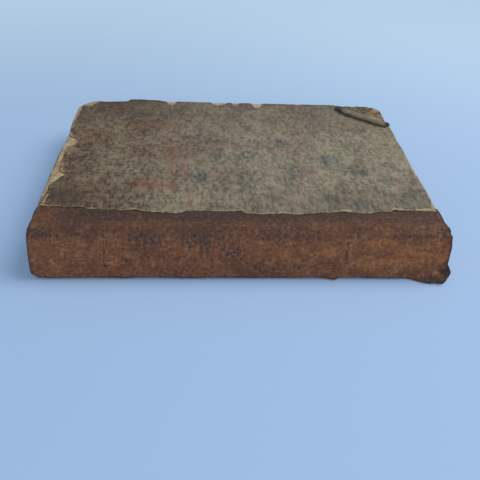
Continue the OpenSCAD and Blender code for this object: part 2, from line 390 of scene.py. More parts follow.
def coverPaperFinish():
    # Dark and light specks between two tones, browner towards the tail edge, with greenish clusters,
    # pinkish drifts, streaks beside the leather, and the pale inside of the sheet where it is worn
    f = Finish("mottled_paper")
    c = paperColours
    along = f.axis("X")
    broad = f.noise(34, 3, 0.5)
    cloud = f.noise(62, 5, 0.6)
    drift = f.noise(120, 4, 0.6, (1, 1, 1), (0.31, 0.17, 0))
    small = f.noise(1, 5, 0.62, (450, 285, 450))
    flecks = f.noise(1, 3, 0.6, (720, 450, 720), (140, 280, 0))
    blots = f.noise(165, 3, 0.55, (1, 0.7, 1), (0.5, 0.1, 0))
    streaks = f.noise(1, 4, 0.6, (640, 110, 1))
    bars = f.noise(1, 4, 0.6, (130, 620, 1))
    fromTail = f.span(along, -0.114, 0.03, 0.0, 0.9)
    side = f.calculate("ADD", fromTail, f.span(broad, 0.35, 0.65, -0.22, 0.22), True)
    cool = f.field("cool") * f.span(blots, 0.35, 0.55, 0.4, 1.0)
    cluster = f.calculate("ADD", f.span(cloud, 0.47, 0.6, 0, 0.6), cool * 0.9, True)
    light = f.layers(
        c["brownLight"],
        (side, c["tanLight"]),
        (f.span(broad, 0.5, 0.62, 0, 0.3), c["olive"]),
        (f.span(drift, 0.5, 0.66, 0, 0.4), c["pink"]),
        (f.field("blush") * 0.55, c["pink"]),
        (cluster * 0.24, c["green"]),
        (cool * 0.5, c["teal"]))
    dark = f.layers(c["brownDark"], (side, c["tanDark"]), (cluster * 0.34, c["slate"]), (cool * 0.7, c["ink"]))
    near = f.field("streaky") * (streaks - 0.5)
    left = f.span(along, 0.01, -0.09) * (bars - 0.5)
    level = small + flecks.swing(0.5) + blots.swing(0.28) - cluster * 0.045 + near * 0.7 + left * 0.4
    worn = f.field("wear") + small.swing(0.9)
    torn = f.mix(f.span(drift, 0.5, 0.66, 0, 0.6), c["torn"], c["ochre"])
    colour = f.layers(
        dark,
        (f.span(level, 0.26, 0.7), light),
        (f.field("rub") * f.span(flecks, 0.42, 0.6), c["rub"]),
        (f.field("grime") * f.span(cloud, 0.3, 0.6, 0.55, 0.95), c["grime"]),
        (f.span(worn, 0.42, 0.66), torn))
    return f.done(colour, 0.88, 0.2, small * 0.7 + flecks * 0.4 + near * 0.3, 0.00022, 0.7)


def bareBoardFinish():
    f = Finish("bare_board")
    fibre = f.noise(1, 5, 0.65, (700, 1500, 1500))
    small = f.noise(620, 4, 0.6)
    colour = f.layers(
        (156, 134, 106),
        (f.span(f.noise(170, 4, 0.6), 0.35, 0.65), (188, 168, 135)),
        (f.span(fibre, 0.52, 0.7, 0, 0.45), (120, 100, 74)),
        (f.span(small, 0.55, 0.68, 0, 0.5), (98, 82, 62)),
        (f.field("ochre"), paperColours["ochre"]),
        (f.field("soil") * f.span(small, 0.62, 0.4, 0.55, 1.0), (66, 61, 49)))
    return f.done(colour, 0.92, 0.15, fibre + small * 0.8, 0.0003, 0.8)


def tornEdgeFinish():
    f = Finish("torn_paper_edge")
    fibre = f.noise(1400, 4, 0.6)
    colour = f.layers(
        (140, 125, 102),
        (f.span(f.noise(240, 3, 0.5), 0.4, 0.62), (168, 152, 124)),
        (f.span(fibre, 0.52, 0.7, 0, 0.5), (104, 90, 73)),
        (f.span(f.noise(85, 4, 0.6), 0.44, 0.56, 0, 0.85), (84, 71, 59)))
    return f.done(colour, 0.93, 0.15, fibre, 0.0002, 0.8)


def endpaperFinish(name, surface):
    # toned paper with soft clouds, a few brown spots, browning towards the edges, and a painted shadow line along
    # the turn-ins' inner edge
    f = Finish(name, surface)
    fine = f.noise(1300, 4, 0.6)
    moved = f.node("Mapping", 0, {"Vector": f.place, "Location": (0.3, 0.1, 0)})
    cells = f.node("TexVoronoi", "Distance", {"Vector": moved, "Scale": 95})
    spots = f.span(cells, 0.16, 0.04) * f.span(f.noise(30, 2), 0.5, 0.62)
    colour = f.layers(
        (214, 200, 166),
        (f.span(f.noise(16, 3, 0.5), 0.35, 0.65), (200, 182, 146)),
        (f.span(f.noise(70, 4, 0.6), 0.52, 0.72, 0, 0.4), (184, 160, 120)),
        (spots * 0.5, (150, 108, 66)),
        # browning, with the painted shadow line along the turn-ins' step
        (f.field("browningAndStepShade"), (158, 126, 84)),
        (f.span(fine, 0.55, 0.72, 0, 0.25), (172, 150, 114)))
    return f.done(colour, 0.86, 0.2, fine, 0.00012, 0.6)


def pageEdgeFinish():
    # thin dark and light lines for the leaves, broader ones for the gatherings
    f = Finish("page_edges")
    leaves = f.noise(1, 3, 0.7, (26, 26, 5200))
    groups = f.noise(1, 2, 0.5, (9, 9, 620))
    colour = f.layers(
        (206, 188, 150),
        (f.span(f.noise(55, 4, 0.6), 0.36, 0.66), (184, 160, 120)),
        (f.span(leaves, 0.5, 0.7, 0, 0.75), (128, 104, 72)),
        (f.span(groups, 0.56, 0.72, 0, 0.5), (112, 90, 62)),
        (f.span(leaves, 0.45, 0.3, 0, 0.4), (224, 209, 175)),
        (f.field("soil"), (116, 96, 70)))
    return f.done(colour, 0.9, 0.15, leaves + groups * 0.8, 0.0003, 0.9)


def threadFinish():
    f = Finish("band_thread")
    fine = f.noise(2600, 3, 0.6)
    colour = f.layers(
        (196, 176, 138),
        (f.span(f.noise(300, 3, 0.5), 0.4, 0.62), (168, 142, 102)),
        (f.span(fine, 0.52, 0.7, 0, 0.5), (120, 98, 70)))
    return f.done(colour, 0.85, 0.2, fine, 0.0001, 0.8)


def liningFinish():
    # open cloth under glue: the higher of two sets of threads
    f = Finish("spine_lining_cloth")
    inputs = {"Vector": f.place, "Scale": 420.0, "Distortion": 1.2, "Detail": 2.0}
    warp, weft = (f.node("TexWave", "Fac", inputs, bands_direction=way) for way in "XZ")
    weave = f.calculate("MAXIMUM", warp, weft)
    colour = f.layers(
        (174, 152, 116),
        (f.span(f.noise(90, 4, 0.6), 0.36, 0.64), (146, 122, 88)),
        (f.span(weave, 0.35, 0.8, 0.5, 0), (96, 78, 54)))
    return f.done(colour, 0.9, 0.15, weave, 0.00015, 0.8)


leather = leatherFinish()
coverPaper = coverPaperFinish()
bareBoard = bareBoardFinish()
tornEdge = tornEdgeFinish()
endpaper = endpaperFinish("endpaper", "object")
jointPaper = endpaperFinish("endpaper_joint", "sheet")
pageEdges = pageEdgeFinish()
threads = threadFinish()
liningCloth = liningFinish()
print("materials ready")


# lengths of the studio are in metres
studio = {
    "near": (163, 191, 228), "back": (191, 215, 237), "shadeFrom": -0.05, "shadeTo": 0.45,
    "far": (182, 207, 232), "fadeFrom": 0.18, "fadeTo": 0.6, "floorHalf": 12.0, "floorLow": -0.0004,
    "sky": (0.7, 0.87, 1.04, 1), "skyStrength": 0.36,
}
lamps = {
    "key": {"at": (0.95, 0.16, 1.25), "power": 17.0, "size": 1.1, "colour": (1.03, 0.965, 0.885)},
    "fill": {"at": (-0.1, -1.75, 1.1), "power": 16.9, "size": 1.4, "colour": (1.0, 0.99, 0.97)},
}
viewpoint = {"at": (-0.02115, -0.2677, 0.19296), "yaw": 5.23, "pitch": 40.68, "roll": 3.70, "lens": 37.62}


def makeFloor():
    # A pale floor that takes the shadow, painted lighter towards the back as painted light; seen from the camera
    # it fades with distance into the background colour
    s = studio
    half, low = s["floorHalf"], s["floorLow"]
    mesh = bpy.data.meshes.new("floor")
    corners = [(-half, -half, low), (half, -half, low), (half, half, low), (-half, half, low)]
    mesh.from_pydata(corners, [], [(0, 1, 2, 3)])
    f = Finish("pale_floor")
    # painted light: the floor's colour grows lighter from near to back
    shade = f.mix(f.span(f.axis("Y"), s["shadeFrom"], s["shadeTo"]), s["near"], s["back"])
    mesh.materials.append(f.done(shade, 0.75, 0.15))
    distance = f.node("VectorMath", "Value", {0: f.place}, operation="LENGTH")
    fade = f.span(distance, s["fadeFrom"], s["fadeTo"]) * f.node("LightPath", "Is Camera Ray", {})
    plain = f.node("Emission", 0, {"Color": rgb(s["far"]), "Strength": 1.0})
    both = f.node("MixShader", 0, {0: fade, 1: Value(f, f.shader.outputs[0]), 2: plain})
    f.put(both, f.tree.nodes["Material Output"].inputs["Surface"])
    return addObject("floor", mesh)


def setWorld():
    # soft light from all round; the camera, gloss and glass see the plain background colour
    world = bpy.data.worlds.new("studio")
    world.use_nodes = True
    w = Nodes(world.node_tree)
    sky = w.tree.nodes["Background"]
    w.put(studio["sky"], sky.inputs["Color"])
    w.put(studio["skyStrength"], sky.inputs["Strength"])
    backdrop = w.node("Background", 0, {"Color": rgb(studio["far"])})
    seen = w.node("LightPath", "Is Camera Ray", {})
    for ray in ("Is Glossy Ray", "Is Transmission Ray"):
        seen = w.calculate("MAXIMUM", seen, w.node("LightPath", ray, {}))
    both = w.node("MixShader", 0, {0: seen, 1: Value(w, sky.outputs[0]), 2: backdrop})
    w.put(both, w.tree.nodes["World Output"].inputs["Surface"])
    bpy.context.scene.world = world


def addLamp(name, at, power, size, colour):
    # a square lamp turned towards the origin
    lamp = bpy.data.lights.new(name, "AREA")
    lamp.energy = power
    lamp.size = size
    lamp.color = colour
    holder = addObject(name, lamp)
    holder.location = at
    away = -np.array(at) / np.linalg.norm(at)
    holder.rotation_euler = (math.acos(-away[2]), 0, math.atan2(away[1], away[0]) - math.pi / 2)


def setCamera():
    # the camera looks along its yaw and pitch, rolled about the line of sight
    yaw, pitch, roll = (math.radians(viewpoint[k]) for k in ("yaw", "pitch", "roll"))
    ahead = np.array([math.sin(yaw) * math.cos(pitch), math.cos(yaw) * math.cos(pitch), -math.sin(pitch)])
    right = np.array([math.cos(yaw), -math.sin(yaw), 0])
    up = np.cross(right, ahead)
    side = right * math.cos(roll) + up * math.sin(roll)
    top = up * math.cos(roll) - right * math.sin(roll)
    data = bpy.data.cameras.new("camera")
    data.lens = viewpoint["lens"]
    data.sensor_width = 36.0
    data.clip_start = 0.01
    data.clip_end = 60
    camera = addObject("camera", data)
    camera.matrix_world = Matrix([[side[k], top[k], -ahead[k], viewpoint["at"][k]] for k in range(3)]
                                 + [[0, 0, 0, 1]])
    bpy.context.scene.camera = camera


bpy.context.scene.view_settings.view_transform = "Standard"
floor = makeFloor()
setWorld()
for lampName, lampLook in lamps.items():
    addLamp(lampName, **lampLook)
setCamera()
print("stage, light and camera ready")


# leather of the spine and of the front cover, one sheet
spineSheet = {
    "step": 0.68, "edge": [0, 0.07, 0.2, 0.4, 0.65, 0.95], "roundness": 0.8, "creases": (-72.0, 92.6, 106.6),
    "footRows": 13, "arcRows": 54, "jointRows": 18, "stripRows": 24, "jointWide": 3.2, "under": 3.0,
    "swell": 0.16, "ridge": 0.26, "shoulder": 0.42, "tailClip": 3.1,
    "tagAt": 50.5, "tagWide": 9.0, "tagDrop": 0.55, "tagOut": 1.3,
    "curlFrom": 86.5, "curlHigh": 9.8, "curlOut": 4.3, "lipAt": 0.42, "lipOut": 2.9, "flare": 1.15, "bulge": 0.6,
}
# boundary between leather and paper: along the boards, and distance from the joint
leatherLine = np.array([(-111, 18.9), (-107.6, 18.7), (-101.3, 18.0), (-91, 16.9), (-80.8, 16.5), (-69.1, 15.8),
                        (-62, 15.0), (-52.6, 14.0), (-40.5, 13.2), (-33, 13.4), (-27.2, 14.8), (-21.2, 15.5),
                        (-11, 15.2), (-0.4, 15.0), (0.2, 13.4), (11.7, 13.0), (34, 13.1), (41.8, 14.4),
                        (57.4, 14.9), (71.6, 14.3), (83.6, 16.1), (93.9, 16.3), (109, 16.6), (111, 16.6)])
# how dark and strip-like the leather is, by the distance beyond the joint
stripTone = np.array([(-12, 0), (-7, 0.12), (-3, 0.42), (0, 0.74), (3, 0.5), (5.5, 0.62), (8, 0.86), (13, 1.0)])
# how far the long crack strays, by the way up the sheet; it ends at the joint
crackLine = np.array([(0, 2.6), (4, 1.6), (7, 0.0), (28, -0.3), (28.6, 9000)])
# soft marks on the leather: along, up the sheet from its lower edge, half length, half height, strength; the marks
# at the head end from x 100 on darken the end and the curled corner, partly the leather's own tone and partly
# painted shade
darkMarks = [(-103, 26, 6, 2.4, 0.8), (-93, 25.4, 5, 1.5, 0.5), (-56, 25, 5, 4, 0.55), (-48, 23.5, 6, 4.5, 0.6),
             (-21.6, 24.5, 9, 4.5, 0.6), (-35.4, 13, 1.8, 1.7, 1.1), (36, 25.4, 6, 3, 0.5),
             (54.8, 15.2, 2.2, 5, 0.8), (75.5, 15.7, 1.8, 1.6, 0.9), (-101, 14, 2, 2, 0.5),
             (86.4, 25.7, 6, 1.8, 0.5), (-4, 17, 7, 5, 0.5), (-43.7, 5.3, 4, 3, 0.5), (24, 9, 7, 3, 0.45),
             (-80, 9, 3, 3, 0.35), (62, 21, 4, 2, 0.5), (-20, 17, 5, 4, 0.5), (14, 26, 9, 3, 0.45),
             (-15, 22, 45, 7, 0.22), (-62, 35, 10, 2, 0.5), (-32, 36.7, 4, 2, 0.8), (20, 36, 18, 5, 0.35),
             (98, 8, 3, 3, 0.3), (110, 22, 2.5, 9, 0.8), (111, 9, 2.5, 3.5, 1.1), (106, 2.5, 7, 2.6, 1.0),
             (106, 27, 3, 5, 0.5), (100, 1, 9, 1.2, 0.7)]
warmMarks = [(-64, 13, 5, 5, 0.8), (-37.5, 22, 3, 3.5, 0.9), (50, 20, 8, 6, 0.8), (70, 23, 6, 3, 0.6),
             (75, 9, 26, 8, 0.55), (-75, 7, 20, 6, 0.4), (25, 15, 12, 6, 0.6), (-2, 24, 10, 5, 0.5),
             (104, 16, 4, 12, 0.6), (108.5, 12.5, 2, 2.5, 1.2), (30, 33, 40, 3, 0.35), (88, 18, 14, 8, 0.5),
             (-100, 8, 8, 7, 0.35)]


def makeLeather():
    # Profile: straight foot, then the arc of the spine, then the groove and the strip on the cover.
    # Each point of the profile is carried along x; the inner side lies a thickness behind it.
    p = spineSheet
    b = book
    half = b["halfLen"] + b["capW"]
    xs = fringe(half, p["edge"], p["step"])
    closer = np.array([-0.8, -0.45, -0.2, 0, 0.2, 0.45, 0.8])
    for at in p["creases"]:
        xs = np.concatenate([xs[np.abs(xs - at) > 0.9], at + closer])
    x = np.sort(xs)[:, None]
    carried = np.ones_like(x)
    fromEnd = half - np.abs(x)
    line = np.interp(x, *leatherLine.T)
    reach = math.asin((b["spineTop"] - b["spineFoot"]) / b["spineR"])
    footT = np.linspace(0, 1, p["footRows"])[:-1]
    turn = np.linspace(0, reach, p["arcRows"])[:-1]
    jointY = np.linspace(0, p["jointWide"], p["jointRows"])[:-1]
    stripT = np.linspace(0, 1, p["stripRows"])
    footLen = b["spineFoot"] - b["freeEdge"]
    jointAt = footLen + reach * b["spineR"]
    coverStart = len(footT) + len(turn)
    coverRows = len(jointY) + len(stripT)
    # foot rows start higher where the corner is clipped and lower at the torn tag
    lowZ = b["freeEdge"] + 0.22 * rough(x, 0, 9, 3) + 0.1 * rough(x, 0, 1.7, 4)
    lowZ = np.maximum(lowZ + np.clip(p["tailClip"] - (x + half), 0, None), 0.35)
    fromTag = x - p["tagAt"]
    tag = np.clip(fromTag / p["tagWide"] + 1, 0, 1) ** 1.6 * (fromTag <= 0.3)
    tag = tag + np.clip(1 - fromTag / 2.2, 0, 1) * (fromTag > 0.3)
    lowZ = lowZ - p["tagDrop"] * tag
    footZ = lowZ + footT * (b["spineFoot"] - lowZ)
    arcY = carried * (b["spineCentre"] - b["spineR"] * np.cos(turn))
    arcZ = carried * (b["spineFoot"] + b["spineR"] * np.sin(turn))
    stripY = p["jointWide"] + stripT * (line + p["under"] - p["jointWide"])
    onCover = np.concatenate([carried * jointY, stripY], 1)
    ridge = p["ridge"] * hump(onCover, 4.9, 1.2) * (0.7 + 0.5 * rough(x, 0, 14, 5))
    depth = b["grooveD"] * (1 - ease(onCover, 0.5, 2.6)) - ridge + 0.35 * ease(onCover - line, -0.4, 1.6)
    y = np.concatenate([np.full_like(footZ, b["spineOut"]), arcY, onCover + b["frontJoint"]], 1)
    z = np.concatenate([footZ, arcZ, b["thick"] - depth], 1)
    # s is the way up the flat sheet from its lower edge
    s = np.concatenate([footZ - b["freeEdge"], carried * (footLen + turn * b["spineR"]), jointAt + onCover], 1)
    beyond = s - jointAt
    # outward direction of each row of the profile
    rowY = np.concatenate([np.full(len(footT), -1.0), -np.cos(turn), np.zeros(coverRows)])
    rowZ = np.concatenate([np.zeros(len(footT)), np.sin(turn), np.ones(coverRows)])
    bend = ease(np.arange(len(rowY)), coverStart - 5, coverStart)
    rowY, rowZ = rowY * (1 - bend), rowZ * (1 - bend) + bend
    size = np.hypot(rowY, rowZ)
    rowY, rowZ = rowY / size, rowZ / size
    # ends of the sheet: a little longer on the spine than on the cover
    onSpine = 1 - ease(beyond, -1, 1.5)
    halfHere = b["halfLen"] + 0.15 + (b["capW"] - 0.15) * onSpine
    halfHere = halfHere - (x < 0) * (0.3 * ease(beyond, -4, 0) + 0.42 * np.clip(beyond - 15.3, 0, 6))
    halfHere = halfHere + (x < 0) * 0.4 * ease(s, 12, 4) + (x > 0) * 0.5 * ease(beyond, -6, -2)
    nibble = 0.25 * rough(s, np.sign(x) * 7, 6, 8) * ease(np.abs(x), half - 4, half)
    xFull = x * (halfHere / half) + np.sign(x) * nibble
    # swelling, the shoulder beside the groove, and creases
    lift = p["swell"] * rough(x, s, 26, 11) + 0.07 * rough(x, s, 7, 12) + 0.035 * rough(x, s, 2.2, 13)
    lift = lift * np.repeat([1.0, 0.45], [coverStart, coverRows])
    lift = lift + p["shoulder"] * hump(beyond, -2, 1.2) * onSpine
    crackX, creaseX, headX = p["creases"]
    crackAt = crackX + np.interp(s, *crackLine.T)
    lift = lift - 0.28 * hump(x, crackAt, 0.42) * ease(s, 29, 27) * (0.6 + 0.4 * rough(0, s, 3, 14))
    lift = lift - 0.22 * hump(x, creaseX + 0.5 * rough(0, s, 9, 15), 0.6) * ease(s, 27, 24) * ease(s, 3, 8)
    lift = lift - 0.3 * hump(x, headX, 0.55) * ease(s, 28, 25) + 0.2 * hump(x, headX + 2, 1.3) * ease(s, 29, 25)
    drop = roundOff(fromEnd, p["roundness"]) + np.pad([0.2, 0.05], (0, len(rowY) - 2))
    outer = np.stack([xFull, y + rowY * (lift - drop), z + rowZ * (lift - drop)], -1)
    # inner side: doubled at both ends where the leather turns in, and the full board on the cover
    folded = ease(fromEnd, b["turnIn"] + 0.4, b["turnIn"] - 0.4) * ease(z, b["blockLow"], b["blockLow"] + 1.2)
    thick = b["leatherT"] + (b["pagesBack"] - b["leatherT"] - 0.06) * folded
    thin = b["grooveD"] + b["leatherT"]
    fullBoard = ease(onCover, b["jointW"] - 0.05, b["jointW"] + 0.35)
    coverThick = thin - depth + (b["boardT"] - thin) * fullBoard
    thick = np.concatenate([thick[:, :coverStart], coverThick], 1)
    inner = np.stack([xFull, y - rowY * (thick - drop), z - rowZ * (thick - drop)], -1)
    # the torn tag leans out, the loose corner at the head folds out and curls, and the small tip at the head
    # end of the joint stands up
    footShare = np.clip((b["spineFoot"] - z) / footLen, 0, 1)
    run = np.clip((x - p["curlFrom"]) / (half - p["curlFrom"]), 0, 1)
    down = np.clip(1 - (z - b["freeEdge"]) / p["curlHigh"], 0, 1)
    fold = np.clip(run + down - 1, 0, 1)
    above, below = down / p["lipAt"], (down - p["lipAt"]) / (1 - p["lipAt"])
    lip = ease(run, 0.7, 1.0) * np.minimum(np.minimum(above, 1 - 1.25 * below), 1)
    out = p["tagOut"] * tag * footShare ** 2 + p["curlOut"] * (0.83 * ease(fold, 0.14, 0.7) + 0.17 * fold)
    flare = p["flare"] * ease(s, 3, 9) * ease(s, 28, 25) + p["bulge"] * hump(s, 21.5, 4.5)
    stand = hump(x, half, 1.3) * hump(beyond, 1.6, 1.6)
    sideways = p["lipOut"] * lip + flare * ease(x, half - 5, half) + 0.5 * stand + b["midX"]
    for sheet in (outer, inner):
        sheet[..., 0] += sideways
        sheet[..., 1] -= out
        sheet[..., 2] = np.maximum(sheet[..., 2] - 0.6 * fold * down, 0.12) + 0.55 * stand
    strip = np.interp(beyond, *stripTone.T) * (1 - 0.2 * ease(x, 20, 100))
    # darker at the sheet's ends and lower edge: worn edges, with painted shade at the ends; painted shade on the
    # curled head corner's fold and under its lip
    edge = most(0.85 * ease(fromEnd, 1.3 + 0.9 * (x > 0), 0.1), 0.8 * ease(s, 1.1, 0.15),
                0.75 * fold * ease(down, 0.55, 1), ease(lip, 0.25, 0.6) * ease(down, 0.8, 0.45))
    fields = {
        "dark": sumMarks(darkMarks, x, s),
        # warm stains, and painted light: the spine grows warmer and lighter towards its head end and its foot
        "warm": sumMarks(warmMarks, x, s) + 0.25 * ease(x, -10, 60) * ease(s, 26, 10),
        "strip": strip * (1 - 0.5 * ease(-x, 88, 104) * ease(beyond, 4, 8)),
        "edge": edge, "pale": 0.62 * spot(x, s, 26.6, 29.6, 0.7, 0.35), "crackAt": crackAt * 0.001}
    return makeShell("spine_and_front_leather", outer, inner, leather, fields, (x, s), 60, 55)


spineLeather = makeLeather()
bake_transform(spineLeather)
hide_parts("spine_leather", "front_leather")
print("leather ready:", len(spineLeather.data.polygons), "faces")


frontPaper = {"step": 0.76, "edge": [0, 0.22, 0.46, 0.75, 1.1, 1.6], "inset": 0.9, "wrapTo": 1.35,
              "tailRound": 15.5, "lift": 0.32, "proud": 1.0}
# paper lost along the tail edge: distance from the joint, and depth
tailLoss = np.array([(0, 0.8), (17, 1.2), (23, 1.9), (32, 2.9), (37.5, 2.7), (43.2, 6.3), (46.0, 7.6),
                     (48.3, 9.6), (50.2, 7.2), (52.6, 4.6), (61, 3.7), (70.5, 3.4), (75.5, 2.9), (80.2, 3.4),
                     (81.6, 6.8), (86, 7.2), (90.3, 6.6), (93, 2.4), (95, 1.2), (104, 0.8), (112, 0.8),
                     (118, 1.2), (125, 0.8), (130, 1.5), (137.5, 1.2), (150, 1.0)])
# chips out of the far edge: along, half length, depth
chips = [(-45.2, 3.4, 5.4), (-10.4, 5.6, 4.0), (1.6, 2.8, 4.6), (17.2, 3.8, 6.6), (48, 2.0, 0.5)]
# the paper stands out past the far edge here, as a loose flake
flake = {"at": -63, "half": 14, "reach": 0.9}
# soft reddish rubs: along, from the joint, half length, half depth, strength
rubs = [(-58.5, 42, 2.6, 3.6, 0.75), (-43, 37.5, 7, 3.6, 0.75), (-41, 72, 3.2, 20, 0.5),
        (-51, 40, 4, 3, 0.3), (44.5, 55.6, 3, 4, 0.4), (-93, 118, 5, 3, 0.4)]
# bluish and pinkish patches of the speckle: along, from the joint, half width, strength
coolMarks = [(-20, 92, 5, 0.9), (-15, 72, 3.4, 0.9), (-24, 48, 5.5, 1.0), (3, 70, 4, 1.0), (9, 76, 3.5, 0.8),
             (24, 68, 3.4, 0.9), (2, 48, 4.4, 0.8), (27, 91, 4.4, 0.8), (-32, 93, 3, 0.6), (-9, 37, 3.5, 0.6),
             (-63, 52, 4.3, 0.7), (56, 70, 5.5, 1.0), (73, 56, 5.9, 0.9), (34, 55, 4.5, 0.7), (27, 49, 3.1, 0.6),
             (71, 90, 3.7, 0.6), (50, 29, 4.1, 0.9), (90, 49, 3.8, 0.7), (83, 34, 3.6, 0.7), (67, 21, 5.7, 0.9),
             (92, 25, 5.2, 0.8)]
blushMarks = [(36, 49, 3.2, 0.8), (49, 79, 5, 0.7), (91, 30, 5.4, 0.9), (97, 45, 5.1, 0.6), (31, 78, 4.2, 0.7),
              (99, 96, 4.6, 0.8), (76, 108, 5.5, 0.6), (26, 30, 5.2, 0.7), (-12, 84, 6.3, 0.8), (-52, 71, 6, 0.7),
              (-53, 29, 4.5, 0.5), (85, 112, 6.4, 0.4)]
# where the paper leaves the board at the corner, and the middle of the roll that lies over it
cornerLine = np.array([(76.6, 146.6), (79.6, 139.0), (85.6, 132.4), (92.2, 126.6), (99.6, 120.6), (105.6, 116.2),
                       (109.1, 113.7)])
rollLine = np.array([(75.8, 141.0), (80.6, 134.0), (86.6, 128.6), (93.0, 123.8), (99.8, 118.6), (107.6, 113.6)])


def blendSides(low, high, left, right, us, vs):
    # Coons patch: both pairs of sides blended, less the corners counted twice
    u, v = us[:, None, None], vs[None, :, None]
    ruledV = (1 - v) * low[:, None, :] + v * high[:, None, :]
    ruledU = (1 - u) * left[None, :, :] + u * right[None, :, :]
    corners = (1 - u) * (1 - v) * low[0] + u * (1 - v) * low[-1] + (1 - u) * v * high[0] + u * v * high[-1]
    return ruledV + ruledU - corners


def frontLoss(x, y, kinds, onCorner, flush):
    # how much paper is gone at each point of the rim: along the tail, at the far edge and at the head;
    # the flake reaches out past the board instead
    bites = [deep * np.clip(1 - ((x - at) / wide) ** 2, 0, 1) ** 0.5 for at, wide, deep in chips]
    rubbed = wornEdge(x, y)
    farLoss = most(np.where(rubbed > 0.3, rubbed + 0.5, 0), *bites)
    tongue = flake["reach"] * np.clip(1 - np.abs((x - flake["at"]) / flake["half"]) ** 5, 0, 1)
    tongue = tongue * (1 - 0.6 * ease(x, -68, -50))
    farLoss = np.where(tongue > 0.3, -flush - tongue, farLoss)
    headLoss = 0.9 * hump(y, 62, 14) + 0.9 * hump(y, 22, 5) + 0.5 * hump(y, 95, 6)
    losses = [0.0, np.interp(y, *tailLoss.T), farLoss, headLoss]
    return np.select([onCorner, kinds == 0, kinds == 1, kinds == 2], losses, 0.0)


def frontCurl(x, y):
    # where the front cover's paper stands off the board: a blister, the tail edge and the flake
    curl = 0.5 * spot(x, y, -103, 45, 4, 4) + 0.25 * ease(-x, 100, 106) * ease(y, 110, 100) * ease(y, 30, 36)
    raised = ease(np.abs(x - flake["at"]), flake["half"], flake["half"] - 5) * (1 - 0.7 * ease(x, -70, -50))
    return curl + 0.3 * raised * ease(y, 143.5, 148)


def frontMarks(x, y):
    # rubs with a thin wavy line, grime, and bluish and pinkish patches
    wave = -31.5 + 0.9 * np.sin(y / 13) + 2.3 * ease(y, 40, 20)
    rub = sumMarks(rubs, x, y) + 0.75 * hump(x, wave, 0.6) * ease(y, 16, 22) * ease(y, 110, 90)
    grime = 0.45 * hump(y, 147, 9) + 0.25 * hump(y, 146, 14) * ease(-x, 20, 90)
    grime = grime + 0.42 * ease(y, 52, 22) * ease(x, -30, 60) + 0.3 * hump(y, 126, 22) + 0.06 * hump(x, 5, 50)
    grime = grime + 0.75 * spot(x, y, -96, 29, 16, 10)
    onFlake = ease(np.abs(x - flake["at"]), flake["half"] + 3, flake["half"] - 4) * ease(y, 143, 146.5)
    return {"rub": rub, "grime": np.maximum(grime, 0.85 * onFlake), "cool": sumMarks(coolMarks, x, y),
            "blush": sumMarks(blushMarks, x, y)}


